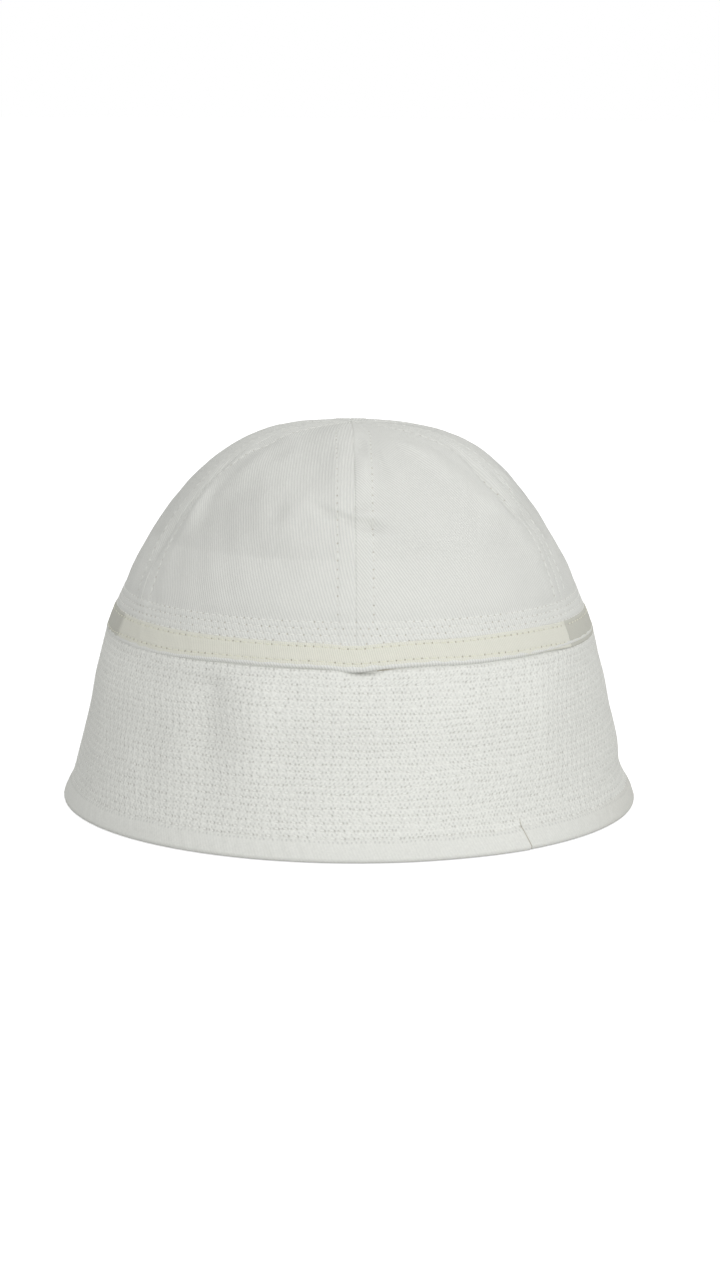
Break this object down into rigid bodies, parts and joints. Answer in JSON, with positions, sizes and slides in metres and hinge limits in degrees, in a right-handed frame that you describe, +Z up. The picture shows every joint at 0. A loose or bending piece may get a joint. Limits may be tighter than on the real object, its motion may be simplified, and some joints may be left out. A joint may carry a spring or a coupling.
{
  "type": "bucket hat",
  "caption": "Sailor-style cotton bucket hat: gored dome crown, narrow ribbon round its base, and a steep ring-quilted brim with a soft turned hem.",
  "frame": {"origin": "on the ground plane under the middle of the hat's box; the hat stands on the rim of its brim", "axes": "+Z up through the crown, -Y towards the crown seam that faces the viewer, Y front to back (the longer way of the head), X side to side"},
  "size_m": [0.2198, 0.246, 0.1434],
  "materials": {
    "crown_twill": "matte cotton twill, slightly warm white",
    "brim_twill": "matte cotton twill, ring quilted",
    "ribbon_twill": "matte cream ribbed tape",
    "seam_tape": "matte woven tape",
    "interlining": "matte stiff buckram",
    "sweatband_cotton": "soft matte cotton"
  },
  "bodies": {
    "root": {"crown_panel_front_right": "crown_twill", "crown_panel_side_right": "crown_twill", "crown_panel_back_right": "crown_twill", "crown_panel_back_left": "crown_twill", "crown_panel_side_left": "crown_twill", "crown_panel_front_left": "crown_twill", "seam_tape_centre": "seam_tape", "seam_tape_front_right": "seam_tape", "seam_tape_back_right": "seam_tape", "seam_tape_back_left": "seam_tape", "seam_tape_front_left": "seam_tape", "crown_base_stay": "interlining", "brim_interlining": "interlining", "ribbon_band": "ribbon_twill", "brim_outer": "brim_twill", "brim_facing": "brim_twill", "sweatband": "sweatband_cotton"}
  },
  "joints": []
}
